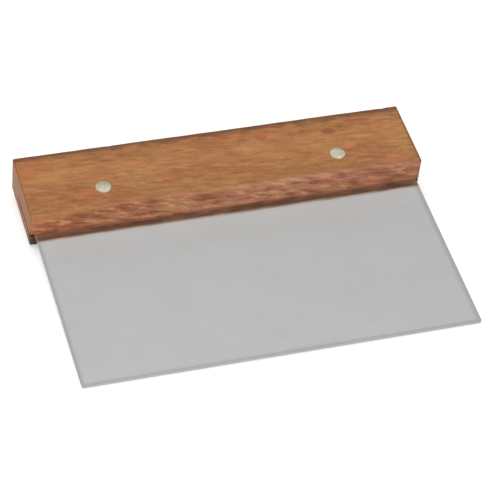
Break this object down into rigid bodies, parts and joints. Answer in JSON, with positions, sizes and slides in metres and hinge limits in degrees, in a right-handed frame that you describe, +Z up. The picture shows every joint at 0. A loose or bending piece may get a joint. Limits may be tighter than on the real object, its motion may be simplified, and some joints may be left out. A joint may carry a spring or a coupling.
{
  "type": "bench scraper",
  "caption": "Bakery bench scraper: rectangular satin steel blade set in the kerf of a straight hardwood block handle and held by flat-headed compression rivets.",
  "frame": {"origin": "on the worktop under the tool, at the middle of its outline seen from above", "axes": "+Z up from the worktop; +X along the handle; +Y from the blade's free edge towards the handle. The tool lies as it rests: on the handle's lower front edge and on the blade's free edge, so its blade and handle slope down towards -Y by 3.71 degrees"},
  "size_m": [0.1556, 0.108, 0.0178],
  "materials": {
    "handle_wood": "oiled open-grained hardwood, smooth, satin",
    "blade_steel": "satin stainless sheet, fine even grain",
    "rivet_metal": "satin, slightly dulled"
  },
  "bodies": {
    "root": {"wood_handle": "handle_wood", "steel_blade": "blade_steel", "rivet_left_male": "rivet_metal", "rivet_left_female": "rivet_metal", "rivet_right_male": "rivet_metal", "rivet_right_female": "rivet_metal"}
  },
  "joints": []
}
